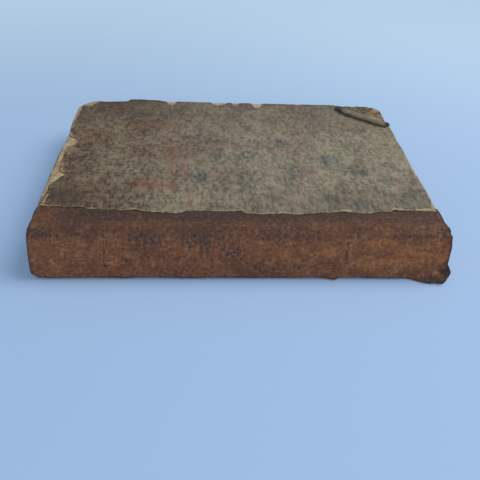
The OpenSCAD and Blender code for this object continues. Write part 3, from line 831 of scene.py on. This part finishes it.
def paperSheet(name, place, look, lowLine, worn, seed):
    # Top: a patch between its four sides. Round the edge: rings out over the board's edge where the paper
    # is whole, drawn together where it is torn away. Underneath: the same rings back, and a fan.
    i = look["inset"]
    half = book["halfLen"] - i
    far = book["coverDepth"] - i
    r = look["tailRound"] - i
    edge = np.array(look["edge"])
    us = fringe(0.5, edge / (2 * half), look["step"] / (2 * half)) + 0.5
    vs = fringe(0.5, edge / (far - 15), look["step"] / (far - 15)) + 0.5
    tailEnd = arcPoints(-half + r, far - r, r, 180, 90, 21)
    headEnd, turn = arcPoints(half - r, far - r, r, 90, 0, 21), 10
    if worn:
        headEnd, turn = cornerLine, 3
    along = np.linspace(-half, half, 200)
    lowSide = resample(np.stack([along, np.interp(along, *lowLine.T)], -1), us)
    left = resample(np.concatenate([lowSide[:1], tailEnd[:11]]), vs)
    high = resample(np.concatenate([tailEnd[10:], headEnd[:turn + 1]]), us)
    right = resample(np.concatenate([lowSide[-1:], headEnd[:turn - 1:-1]]), vs)
    # the rim goes up the tail, along the far edge, down the head and back beside the leather: kinds 0 to 3
    sides = [left[:-1], high[:-1], right[:0:-1], lowSide[:0:-1]]
    lengths = [len(side) for side in sides]
    kinds = np.repeat(np.arange(4), lengths)
    x, y = np.concatenate(sides).T
    onLow = kinds == 3
    onCorner = worn & (((kinds == 1) & (x > 75.2)) | ((kinds == 2) & (y > 115.6)))
    # outward direction from the rounded oblong that the board is
    nx, ny = x - np.clip(x, -half + r, half - r), y - np.minimum(y, far - r)
    size = np.maximum(np.hypot(nx, ny), 1e-6)
    nx = np.select([onLow, onCorner], [0.0, 0.66], nx / size)
    ny = np.select([onLow, onCorner], [-1.0, 0.75], ny / size)
    loss = frontLoss(x, y, kinds, onCorner, i) if worn else np.zeros(len(x))
    whole = np.where(onCorner | onLow, 0, (1 - ease(loss, 0.15, 0.7)) * ease(loss, -0.5, -0.1))
    gone = np.cumsum(np.hypot(np.diff(x, append=x[0]), np.diff(y, append=y[0])))
    ragged = 0.22 * np.abs(rough(gone, 0, 1.3, seed)) + 0.22 * np.abs(rough(gone, 0, 4.1, seed + 1))
    scraps = 0.75 * ease(rough(gone, 0, 6.5, seed + 9), 0.15, 0.55)
    jags = 0.5 * ease(rough(gone, 0, 2.6, seed + 12), 0.1, 0.35)
    loss = loss + np.where(onLow, (1.1 * ragged + jags + scraps - 0.25) * look["proud"], ragged * (1 - whole))
    # the torn sides make the patch
    torn = np.stack([x - nx * loss, y - ny * loss], -1)
    torn = np.concatenate([torn, torn[:1]])
    stops = np.cumsum([0] + lengths)
    left, high, right, lowSide = (torn[a:b + 1] for a, b in zip(stops, stops[1:]))
    top = blendSides(lowSide[::-1], high, left, right[::-1], us, vs)
    tx, ty = top[..., 0], top[..., 1]
    fromLow, *fromOthers = (np.linalg.norm(top - side, axis=-1)
                            for side in (top[:, :1], top[:, -1:], top[:1], top[-1:]))
    fromRim = np.minimum.reduce([fromLow] + fromOthers)
    # the sheet rides over the leather by a little and its cut edge lifts here and there
    overlap = 0.1 * ease(fromLow, 4.5, 1.5)
    lifted = look["lift"] * ease(fromLow, 1.8, 0) * ease(rough(tx, 0, 7, seed + 2), -0.1, 0.7)
    swell = 0.1 * rough(tx, ty, 30, seed + 3) + 0.04 * rough(tx, ty, 7, seed + 4)
    swell = swell * ease(fromRim, 0, 6) + 0.035 * rough(tx, ty, 1.8, seed + 5) * ease(fromRim, 0, 0.8)
    curl = frontCurl(tx, ty) if worn else 0.0
    topDepth = -look["proud"] * (overlap + lifted + swell + curl)
    topDepth = topDepth + (1 - look["proud"]) * 0.02 * (1 + rough(tx, ty, 7, seed + 4)) * ease(fromRim, 0, 3)
    # the grid's border runs the other way round than the rim, from the same corner
    rimIndex = borderOf(*tx.shape)
    rimX, rimY, rimDepth = (values.ravel()[rimIndex] for values in (tx, ty, topDepth))
    nx, ny, whole = (np.roll(values[::-1], 1) for values in (nx, ny, whole))
    t = book["paperT"]
    rings = []
    for bend in (whole * share * math.pi / 2 for share in np.linspace(0.2, 1, 5)):
        reach = i * np.sin(bend)
        rings.append((rimX + nx * reach, rimY + ny * reach, rimDepth + i * (1 - np.cos(bend))))
    for inside, share in ((0, 0.5), (0, 1), (t, 1), (t, 0)):
        reach = (i - inside) * np.sin(whole * math.pi / 2)
        wrapped = i + share * (look["wrapTo"] - i)
        rings.append((rimX + nx * reach, rimY + ny * reach, (rimDepth + inside) * (1 - whole) + whole * wrapped))
    rings.append((rimX, rimY, rimDepth + t))
    middleX, middleY = coverMiddle
    rings.append((rimX * 0.93, middleY + (rimY - middleY) * 0.91, t))
    parts = [place(tx, ty, topDepth)] + [place(*ring) for ring in rings] + [place(middleX, middleY, t)]
    count, start = len(rimIndex), tx.size
    index = np.arange(count)
    after = (index + 1) % count
    last = start + (len(rings) - 1) * count
    topQuads = gridQuads(*tx.shape)
    first = np.stack([rimIndex, np.roll(rimIndex, -1), start + after, start + index], -1)
    later = gridQuads(len(rings), count, loopCols=True, start=start)
    fan = np.stack([last + index, last + after, np.full(count, last + count)], -1)
    # worn edges show the inside of the sheet, and torn ones are finished apart
    rimWide = 0.75 + 0.35 * rough(tx, 0, 9, seed + 10)
    broken = 0.5 + 0.55 * rough(tx, 0, 2.6, seed + 8) + 0.45 * rough(tx, 0, 13, seed + 11)
    edgeWear = np.maximum(0.95 * ease(fromRim, 1.5, 0.2) * (0.6 + 0.4 * rough(tx, ty, 5, seed + 6)),
                          1.05 * ease(fromLow / rimWide, 1.25, 0.7) * broken)
    if worn:
        bare = hump(tx, 57.5, 4.5) + hump(tx, 87, 4.5) + hump(tx, 103, 8) + 0.8 * hump(tx, -60, 4)
        edgeWear = most(edgeWear, 0.7 * ease(np.hypot(tx + 104, ty - 142), 10, 3.5),
                        0.85 * ease(fromLow, 3.8, 1.4) * bare)
    ringWear = 0.22 + 0.25 * rough(rimX, rimY, 4, seed + 7)
    wear = np.concatenate([edgeWear.ravel(), np.tile(ringWear, len(rings)), [0.0]])
    fields = {"wear": wear, "streaky": ease(ty, 55, 25), **(frontMarks(tx, ty) if worn else {})}
    finishOf = np.concatenate([np.zeros(len(topQuads)), np.tile(whole < 0.5, len(rings)), np.ones(count)])
    return makePiece(name, parts, [topQuads, first, later, fan], [coverPaper, tornEdge], fields,
                     faceFinish=finishOf)


paperTop = paperSheet("front_cover_paper", frontPlace, frontPaper, leatherLine, True, 40)
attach(paperTop, "front_cover")
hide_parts("front_paper")
print("front paper ready:", len(paperTop.data.polygons), "faces")


# board of the front cover, with its worn strip and its bare corner
frontBoard = {"step": 0.72, "edgeRound": 1.0, "tailRound": 15.2, "headRound": 10.2, "fray": 0.5, "rings": 34,
              "ringStep": 0.0075}


def makeBoard():
    # Rings round the board: out from the middle of the top, over the rounded edge, and back underneath
    p = frontBoard
    t, near = book["paperT"], book["jointW"]
    half, far = book["halfLen"] - t, book["coverDepth"] - t
    tail, head = p["tailRound"], p["headRound"]
    outline = np.concatenate([
        [(-half, near)], arcPoints(-half + tail, far - tail, tail, 180, 90, 14),
        arcPoints(half - head, far - head, head, 90, 0, 14), [(half, near), (-half, near)]])
    count = int(2 * (2 * half + far - near) / p["step"])
    rim = resample(outline, count + 1)[:-1]
    ahead = np.roll(rim, -3, 0) - np.roll(rim, 3, 0)
    out = np.stack([-ahead[:, 1], ahead[:, 0]], -1)
    out = out / np.linalg.norm(out, axis=1, keepdims=True)
    rim = rim - out * wornEdge(*rim.T)[:, None]
    x, y = rim.T
    along = np.arange(count) * p["step"]
    fray = p["fray"] * (0.6 * rough(along, 0, 1.6, 61) + 0.6 * rough(along, 0, 5, 62))
    fray = fray * (ease(-x, 100, 108) + ease(x, 60, 90) * ease(y, 100, 120))
    e = p["edgeRound"]
    base = rim - out * e
    inwards = (np.arange(p["rings"], 0, -1) * p["ringStep"])[:, None, None]
    turn = np.radians([0, 22, 45, 68, 90])
    reach = np.concatenate([np.sin(turn)[:, None] * (e + fray), [e + 0.7 * fray - 0.03, 0 * fray]])
    rings = np.concatenate([base * (1 - inwards) + np.array(coverMiddle) * inwards,
                            base + out * reach[..., None]])
    depth = np.concatenate([np.full(p["rings"], t), t + e * (1 - np.cos(turn)), [1.9, 2.45]])[:, None]
    tx, ty = rings[..., 0], rings[..., 1]
    # the bare top is pitted, and layers have come off at the corner
    onTop = (np.arange(len(rings)) < p["rings"] + 2)[:, None]
    pits = 0.1 * (1 + rough(tx, ty, 1.5, 63)) + 0.08 * (1 + rough(tx, ty, 4, 64))
    corner = ease(tx + ty, 216, 222)
    layers = 0.28 * ease(rough(tx, ty, 7, 65), -0.05, 0.25) + 0.2 * ease(rough(tx, ty, 5, 66), 0.1, 0.3)
    depth = depth + onTop * (pits + corner * layers)
    ends = frontPlace(*coverMiddle, np.array([0.5, 2.45]))
    ochre = 0.7 * spot(tx, ty, 102, 137, 4, 4) + 0.95 * spot(tx, ty, -98, 142, 10.5, 7)
    ochre = ochre + 0.3 * corner * ease(rough(tx, ty, 6, 67), 0, 0.5)
    soil = 0.95 * ease(ty, 139.5, 143.5) * ease(tx, 78, 83) * ease(tx, 106, 100)
    soil = soil + 0.85 * spot(tx, ty, 93, 139, 7, 5) + 0.5 * ease(depth, 1.0, 1.9)
    soil = soil + 0.45 * corner * (1 + ease(rough(tx, ty, 2.6, 68), -0.1, 0.4))
    soil = soil + 0.2 * ease(-tx, 106, 109) * ease(rough(ty, 0, 6, 69), -0.2, 0.4)
    fields = {"ochre": ochre, "soil": np.clip(soil, 0, 1)}
    return makePiece("front_cover_board", [frontPlace(tx, ty, depth), ends], ringFaces(len(rings), count),
                     [bareBoard], fields, sharp=60)


boardTop = makeBoard()
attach(boardTop, "front_cover")
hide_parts("front_board")


# paper rolled back at the corner; wide and high are given at equal steps from the fore edge to the head
cornerRoll = {"wide": [4.4, 6.2, 5.8, 4.8], "high": [2.6, 3.9, 4.0, 3.4], "turns": 1.35, "pitch": 0.34,
              "thick": 0.28, "along": 110, "round": 92}


def rollFinish():
    # inside of the paper: fibres and creases along the roll, darker at both ends and in patches (painted shade at
    # the steep fore-edge end), a little pink
    f = Finish("rolled_paper", "sheet")
    fibre = f.noise(1, 4, 0.6, (900, 260, 1))
    patch = f.noise(230, 4, 0.6)
    creases = f.noise(1, 4, 0.6, (75, 560, 1))
    colour = f.layers(
        (140, 129, 113),
        (f.span(patch, 0.36, 0.64), (116, 107, 94)),
        (f.span(fibre, 0.5, 0.66, 0, 0.6), (92, 80, 69)),
        (f.span(creases, 0.52, 0.64, 0, 0.55), (84, 74, 64)),
        (f.span(creases, 0.46, 0.34, 0, 0.45), (158, 148, 130)),
        # darker at the ends and in patches: painted shade at the steep fore-edge end
        (f.field("dim"), (66, 66, 68)),
        (f.field("pink"), (138, 112, 102)))
    return f.done(colour, 0.9, 0.15, fibre + (patch - creases * 1.6), 0.0005, 0.9)


def makeRoll():
    # The torn sheet leaves the cover at the fold, turns outwards and up, and winds in as a spiral.
    # Its cross section is carried along the fold from the fore edge to the head.
    p = cornerRoll
    whole = rollLine[-1] - rollLine[0]
    ahead = whole / np.linalg.norm(whole)
    outward = np.array([-ahead[1], ahead[0]])
    run = resample(rollLine, p["along"])[:, None, :]
    t = np.linspace(0, 1, p["along"])[:, None]
    turn = np.linspace(0, 1, p["round"])
    angle = -math.pi / 2 + turn * p["turns"] * 2 * math.pi
    along = t * np.linalg.norm(whole)
    stops = np.linspace(0, 1, len(p["wide"]))
    halfWide, halfHigh = (np.interp(t, stops, p[key]) / 2 for key in ("wide", "high"))
    dent = 0.15 * rough(along, angle * 1.6, 4.2, 71) + 0.07 * rough(along, angle * 2, 1.4, 72)
    wound = (1 + dent * ease(turn, 0, 0.15)) * (1 - 0.04 * turn)
    # the free end of the sheet is ragged and opens a little
    loose = p["pitch"] * turn * p["turns"] - 0.3 * ease(turn, 0.9, 1.0) * (0.5 + 0.5 * rough(along, 0, 5, 73))
    ends = (t - 0.5) * 2 * (1.1 * rough(angle * 1.3, 3, 1.0, 74) - 0.5)
    sheets = []
    for deep in (0.0, p["thick"]):
        side = (halfWide * wound - loose - deep) * np.cos(angle)
        up = halfHigh + (halfHigh * wound - np.minimum(loose, 0.3 * halfHigh) - deep) * np.sin(angle)
        line = run + ahead * ends[..., None] + outward * side[..., None]
        sheets.append(frontPlace(line[..., 0], line[..., 1], -(up + 0.05)))
    # dark at the steep fore-edge end (painted shade), at the open head end, and in random patches
    dim = 0.8 * ease(t, 0.22, 0.06) + 0.9 * ease(t, 0.95, 0.98) + 0.35 * ease(rough(along, angle, 5, 75), 0.0, 0.5)
    fields = {"dim": dim, "pink": 0.6 * hump(t, 0.87, 0.07) + 0 * dim}
    return makeShell("corner_roll", *sheets, rollFinish(), fields, (along, turn * 18), 30)


cornerScroll = makeRoll()
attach(cornerScroll, "front_cover")
print("front board and roll ready")


# section of the paper turned in round the covers' edges: inwards from the edge, and depth
turnInSection = np.array([(0.0, 1.15), (0.0, 1.6), (0.0, 2.0), (0.1, 2.4), (0.35, 2.68), (0.85, 2.8), (13.0, 2.8),
                          (13.0, 2.5), (0.85, 2.5), (0.4, 2.3), (0.3, 2.0), (0.3, 1.15)])
turnInStations = 520


def makeTurnIn(name, place, tailRound, headRound, fromY, body, seed):
    # A closed section carried round tail edge, fore edge and head edge; its inner side keeps a square corner
    half, far = book["halfLen"], book["coverDepth"]
    path = np.concatenate([[(-half, fromY)], arcPoints(-half + tailRound, far - tailRound, tailRound, 180, 90, 12),
                           arcPoints(half - headRound, far - headRound, headRound, 90, 0, 12), [(half, fromY)]])
    rim = resample(path, turnInStations)
    x, y = rim.T
    away = [x - np.clip(x, -half + tailRound, half - headRound),
            y - np.minimum(y, far - np.where(x < 0, tailRound, headRound))]
    out = np.stack(away, -1)
    out = out / np.linalg.norm(out, axis=1, keepdims=True)
    if body == "front_cover":
        rim = rim - out * wornEdge(x, y)[:, None]
    rimX, rimY, outX, outY = rim[:, :1], rim[:, 1:], out[:, :1], out[:, 1:]
    along = (np.arange(turnInStations) * 0.95)[:, None]
    inset, depth = turnInSection.T
    limit = book["turnIn"] + 0.5 * rough(along, 0, 11, seed) + 0.2 * rough(along, 0, 2.4, seed + 1)
    x = np.where(inset > 5, np.clip(rimX, -half + limit, half - limit), rimX - outX * inset)
    y = np.where(inset > 5, np.minimum(rimY, far - limit), rimY - outY * inset)
    raggedTop = 0.18 * rough(along, 0, 2.6, seed + 2) * (depth < 1.2)
    wobble = 0.05 * rough(along, 0, 3.5, seed + 3) * ease(depth, 2.79, 2.2)
    points = place(x + outX * wobble, y + outY * wobble, depth + raggedTop)
    corner = hump(np.hypot(np.abs(rimX) - half, rimY - far), 0, 9)
    wear = ease(depth, 1.9, 2.4) * ease(inset, 3, 0.5) * (0.34 + 0.26 * rough(along, 0, 8, seed + 4))
    wear = np.maximum(wear, 0.7 * corner * (inset < 3))
    start = np.arange(len(inset))[None, :]
    end = start[:, ::-1] + (turnInStations - 1) * len(inset)
    faces = [gridQuads(turnInStations, len(inset), loopCols=True), start, end]
    piece = makePiece(name, [points], faces, [coverPaper], {"wear": wear})
    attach(piece, body)


makeTurnIn("front_turn_in", frontPlace, 15.5, 9.6, 16.8, "front_cover", 80)
makeTurnIn("back_turn_in", backPlace, 4.0, 4.0, 15.0, "back_cover", 90)


# leaves and endpapers: rows close together at the edges, the radius of their far corners
leafSheet = {"edge": [0, 0.3, 0.8, 1.6], "step": 2.0, "foldStep": 1.6, "cornerRound": 8}
# section of the endpaper's fold across the front joint: from the joint, and depth
foldSection = np.array([(0.06, 2.97), (0.1, 2.6), (0.2, 2.25), (0.42, 1.98), (0.75, 1.86), (1.08, 1.88),
                        (1.32, 2.05), (1.44, 2.35), (1.52, 2.65), (1.7, 2.84), (2.1, 2.9)])


def browning(x, y, lowY, highY, halfX, spread):
    # leaves are browner towards their edges
    fromEdge = np.minimum.reduce([halfX - np.abs(x), y - lowY, highY - y])
    return 0.55 * ease(fromEdge + 2.0 * rough(x, y, 9, 95), spread, 0) + 0.25 * ease(fromEdge, 2.5, 0)


def fromTurnIn(x, y):
    # distance from the nearest edge of the board
    return np.minimum(book["halfLen"] - np.abs(x), book["coverDepth"] - y)


def makeFrontEndpaper():
    # The paper pasted inside the front cover and its fold across the joint, as one sheet:
    # a profile across the book carried along it.
    half, reach = book["halfLen"] - book["margin"], book["coverDepth"] - book["margin"]
    rest = np.concatenate([[2.8, 4, 6], np.linspace(8, reach - 1, 84), [reach - 0.5, reach]])
    line = np.concatenate([resample(foldSection, 26), np.stack([rest, np.full(len(rest), 2.9)], -1)])
    ahead = np.gradient(line, axis=0)
    across = np.stack([-ahead[:, 1], ahead[:, 0]], -1)
    across = across / np.linalg.norm(across, axis=1, keepdims=True)
    x, y = np.meshgrid(fringe(half, leafSheet["edge"], leafSheet["foldStep"]), line[:, 0], indexing="ij")
    ragged = 0.25 * rough(y, np.sign(x), 12, 96) * ease(np.abs(x), half - 6, half) * ease(y, 3, 8)
    farEdge = 0.3 * rough(x, 5, 14, 97) * ease(y, reach - 8, reach)
    inside = fromTurnIn(x, y)
    sunk = 0.1 * ease(inside, 12.6, 14.2) * ease(y, 3, 10)
    sheets = []
    for side, sag in ((-0.1, 0), (0.1, 0.02 * rough(x, y, 3, 98) - sunk - 0.02)):
        acrossY = y + farEdge + side * across[:, 0]
        depth = line[:, 1] + side * across[:, 1] + np.where(y > 2.5, sag, 0)
        sheets.append(frontPlace(*roundFar(x + ragged, acrossY, half, reach, leafSheet["cornerRound"]), depth))
    # browner at the edges and by the joint; the line along the turn-ins' inner edge is painted shadow of their
    # step
    browningAndStepShade = most(browning(x, y, 0, reach, half, 9), 0.5 * hump(inside, 13.3, 0.8) * ease(y, 4, 12),
                  0.55 * ease(y, 9, 1))
    return makeShell("front_endpaper", *sheets, jointPaper, {"browningAndStepShade": np.clip(browningAndStepShade, 0, 1)}, (x, y))


frontEndpaper = makeFrontEndpaper()
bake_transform(frontEndpaper)
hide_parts("front_pastedown")


def makeLeaf(name, place, halfX, lowY, highY, depthA, depthB, body, node, sunkIn, seed):
    # a thin leaf: two faces over the same grid; the faces sink and swell by fractions of its thickness
    halfY = (highY - lowY) / 2
    xs, ys = (fringe(half, leafSheet["edge"], leafSheet["step"]) for half in (halfX, halfY))
    x, y = np.meshgrid(xs, ys + (lowY + highY) / 2, indexing="ij")
    ragged = 0.22 * rough(y, np.sign(x), 12, seed) * ease(np.abs(x), halfX - 6, halfX)
    farEdge = 0.25 * rough(x, 5, 14, seed + 1) * ease(y, highY - 8, highY)
    inside = fromTurnIn(x, y)
    sunk = 0.1 * ease(inside, 12.6, 14.2) * sunkIn
    cockle = 0.03 * (1 + rough(x, y, 22, seed + 2))
    faceB = depthB - np.sign(depthB - depthA) * (sunk + cockle)
    px, py = roundFar(x + ragged, y + farEdge, halfX, highY, leafSheet["cornerRound"])
    # browner at the edges and by the joint; on the back endpaper, the line along the turn-ins' inner edge is
    # painted shadow of their step
    browningAndStepShade = most(browning(x, y, lowY, highY, halfX, 10), sunkIn * 0.5 * hump(inside, 13.3, 0.8),
                  0.45 * ease(y - lowY, 8, 1))
    piece = makeShell(name, place(px, py, depthA), place(px, py, faceB), endpaper,
                      {"browningAndStepShade": np.clip(browningAndStepShade, 0, 1)})
    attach(piece, body)
    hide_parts(node)


def backOfPages(z):
    inner = book["spineR"] - book["pagesBack"]
    return book["spineCentre"] - np.sqrt(inner ** 2 - np.clip(z - book["spineFoot"], 0, None) ** 2)


topBack, lowBack = backOfPages(book["blockHigh"]), backOfPages(book["blockLow"])
makeLeaf("front_flyleaf_sheet", blockPlace, book["pagesHalf"], topBack, topBack + book["pageW"],
         book["blockHigh"] - book["flyleafT"], book["blockHigh"], "text_block", "front_flyleaf", 0.0, 110)
makeLeaf("back_flyleaf_sheet", blockPlace, book["pagesHalf"], lowBack, lowBack + book["pageW"],
         book["blockLow"] + book["flyleafT"], book["blockLow"], "text_block", "back_flyleaf", 0.0, 120)
makeLeaf("back_endpaper", backPlace, book["halfLen"] - book["margin"], 0.0, book["coverDepth"] - book["margin"],
         book["boardT"], book["boardT"] + book["pastedownT"], "back_cover", "back_pastedown", 1.0, 130)
print("endpapers ready")


pageBlock = {"rows": 112, "side": 1.7, "leaf": 0.13, "group": 0.16, "groupSize": 2.3, "cornerRound": 9}


def makePages():
    # At each height the block's outline is one loop: back, head, fore edge, tail. The fore edge repeats the
    # curve of the back. Leaves and gatherings stand out or in by small random steps.
    p = pageBlock
    b = book
    half = b["pagesHalf"]
    low, high = b["blockLow"] + b["flyleafT"], b["blockHigh"] - b["flyleafT"]
    z = np.linspace(low, high, p["rows"])[:, None]
    back = backOfPages(z)
    countX, countY = int(2 * half / p["side"]), int(b["pageW"] / p["side"])
    alongX, alongY = (np.linspace(0, 1, count, endpoint=False) for count in (countX, countY))
    u = np.concatenate([alongX * 2 * half - half, np.full(countY, half), half - alongX * 2 * half,
                        np.full(countY, -half)])
    v = np.concatenate([np.zeros(countX), alongY, np.ones(countX), 1 - alongY])
    outX, outY = (np.repeat(way, [countX, countY, countX, countY]) for way in ([0, 1, 0, -1], [0, 0, 1, 0]))
    travel = np.arange(len(u)) * p["side"]
    leaf = (np.arange(p["rows"]) // 2)[:, None]
    group = np.floor((z - low) / p["groupSize"])
    seam = np.abs((z - low) / p["groupSize"] - group - 0.5) * 2
    step = p["leaf"] * rough(leaf, travel / 60, 1.0, 141) + p["group"] * rough(group, travel / 90, 1.0, 142)
    step = step - 0.14 * ease(seam, 0.8, 1.0) - 0.12 + 0.06 * rough(travel, z, 1.9, 143)
    px, py = roundFar(u + outX * step, back + v * b["pageW"] + outY * step, half, back + b["pageW"],
                      p["cornerRound"])
    soil = 0.45 * ease(z, high - 1.5, high) + 0.35 * ease(z, low + 1.2, low)
    soil = np.clip(soil * (0.6 + 0.6 * rough(travel, z, 12, 144)), 0, 1)
    ends = blockPlace(0.0, 0.0, np.array([low, high]))
    return makePiece("page_block", [blockPlace(px, py, z), ends], ringFaces(p["rows"], len(u)), [pageEdges],
                     {"soil": soil})


pages = makePages()
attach(pages, "text_block")
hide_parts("pages")


endBand = {"thick": 2.0, "gap": 0.05, "pitch": 0.42, "relief": 0.07, "round": 14}


def makeBand(name, side, node):
    # a cord wound with thread: a circle carried up the foot and round the arc, swelling at each turn of thread
    p = endBand
    b = book
    r = p["thick"] / 2
    arcR = b["spineR"] - b["pagesBack"] - p["gap"] - r
    sweep = math.asin((b["blockHigh"] - r - b["spineFoot"]) / arcR)
    footLen = b["spineFoot"] - b["blockLow"]
    total = footLen + arcR * sweep
    s = np.linspace(0, total, int(total / p["pitch"] * 5))[:, None]
    turn = np.clip((s - footLen) / arcR, 0, None)
    y = b["spineCentre"] - arcR * np.cos(turn)
    z = np.where(s < footLen, b["blockLow"] + s, b["spineFoot"] + arcR * np.sin(turn))
    angle = np.linspace(0, 2 * math.pi, p["round"], endpoint=False)
    lean = s / p["pitch"] + 0.12 * np.sin(angle)
    radius = r - p["relief"] * (0.5 + 0.5 * np.cos(2 * math.pi * lean))
    radius = radius * (1 - 0.5 * ease(s, 0.5, 0) - 0.5 * ease(s, total - 0.5, total))
    outward = radius * np.sin(angle)
    middleX = side * (b["pagesHalf"] + p["gap"] + r)
    points = blockPlace(middleX + radius * np.cos(angle), y - np.cos(turn) * outward, z + np.sin(turn) * outward)
    ends = blockPlace(middleX, y[[0, -1], 0], z[[0, -1], 0])
    piece = makePiece(name, [points, ends], ringFaces(len(s), p["round"]), [threads], sharp=80)
    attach(piece, "text_block")
    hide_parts(node)


makeBand("head_band_threads", 1, "head_band")
makeBand("tail_band_threads", -1, "tail_band")
print("pages and bands ready")


backPaper = {"step": 1.5, "edge": [0, 0.3, 0.8, 1.6], "inset": 0.9, "wrapTo": 1.35, "tailRound": 4.0, "lift": 0.0,
             "proud": 0.0}
backLine = np.array([(-111, book["leatherW"]), (111, book["leatherW"])])
paperUnder = paperSheet("back_cover_paper", backPlace, backPaper, backLine, False, 150)
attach(paperUnder, "back_cover")
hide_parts("back_paper")


def makeBackLeather():
    # leather strip of the back cover: a profile from the joint to under the paper, carried along x
    b = book
    half = b["halfLen"]
    ys = np.concatenate([[0, 0.4, 0.8, 1.2, 1.6, 2.0, 2.6], np.linspace(3.5, b["leatherW"] + 3, 14)])
    x, y = np.meshgrid(fringe(half, spineSheet["edge"], 2.0), ys, indexing="ij")
    drop = roundOff(half - np.abs(x), spineSheet["roundness"])
    outer = b["grooveD"] * (1 - ease(y, 0.3, 1.8)) + 0.32 * ease(y, b["leatherW"] - 0.3, b["leatherW"] + 1.5)
    outer = outer + 0.03 * (1 + rough(x, y, 6, 161))
    thin = b["grooveD"] + b["leatherT"]
    inner = thin + (b["boardT"] - thin) * ease(y, 1.55, 1.95)
    fields = {"dark": 0.25, "strip": 0.6, "edge": 0.6 * ease(half - np.abs(x), 1.2, 0.1), "crackAt": 5.0}
    return makeShell("back_leather_strip", backPlace(x, y, outer + drop), backPlace(x, y, inner - drop), leather,
                     fields, (x, y + 100), 40, 55)


leatherUnder = makeBackLeather()
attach(leatherUnder, "back_cover")
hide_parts("back_leather")

for node, finish in (("back_board", bareBoard), ("spine_lining", liningCloth)):
    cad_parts[node].data.materials.clear()
    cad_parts[node].data.materials.append(finish)
print("back cover ready")
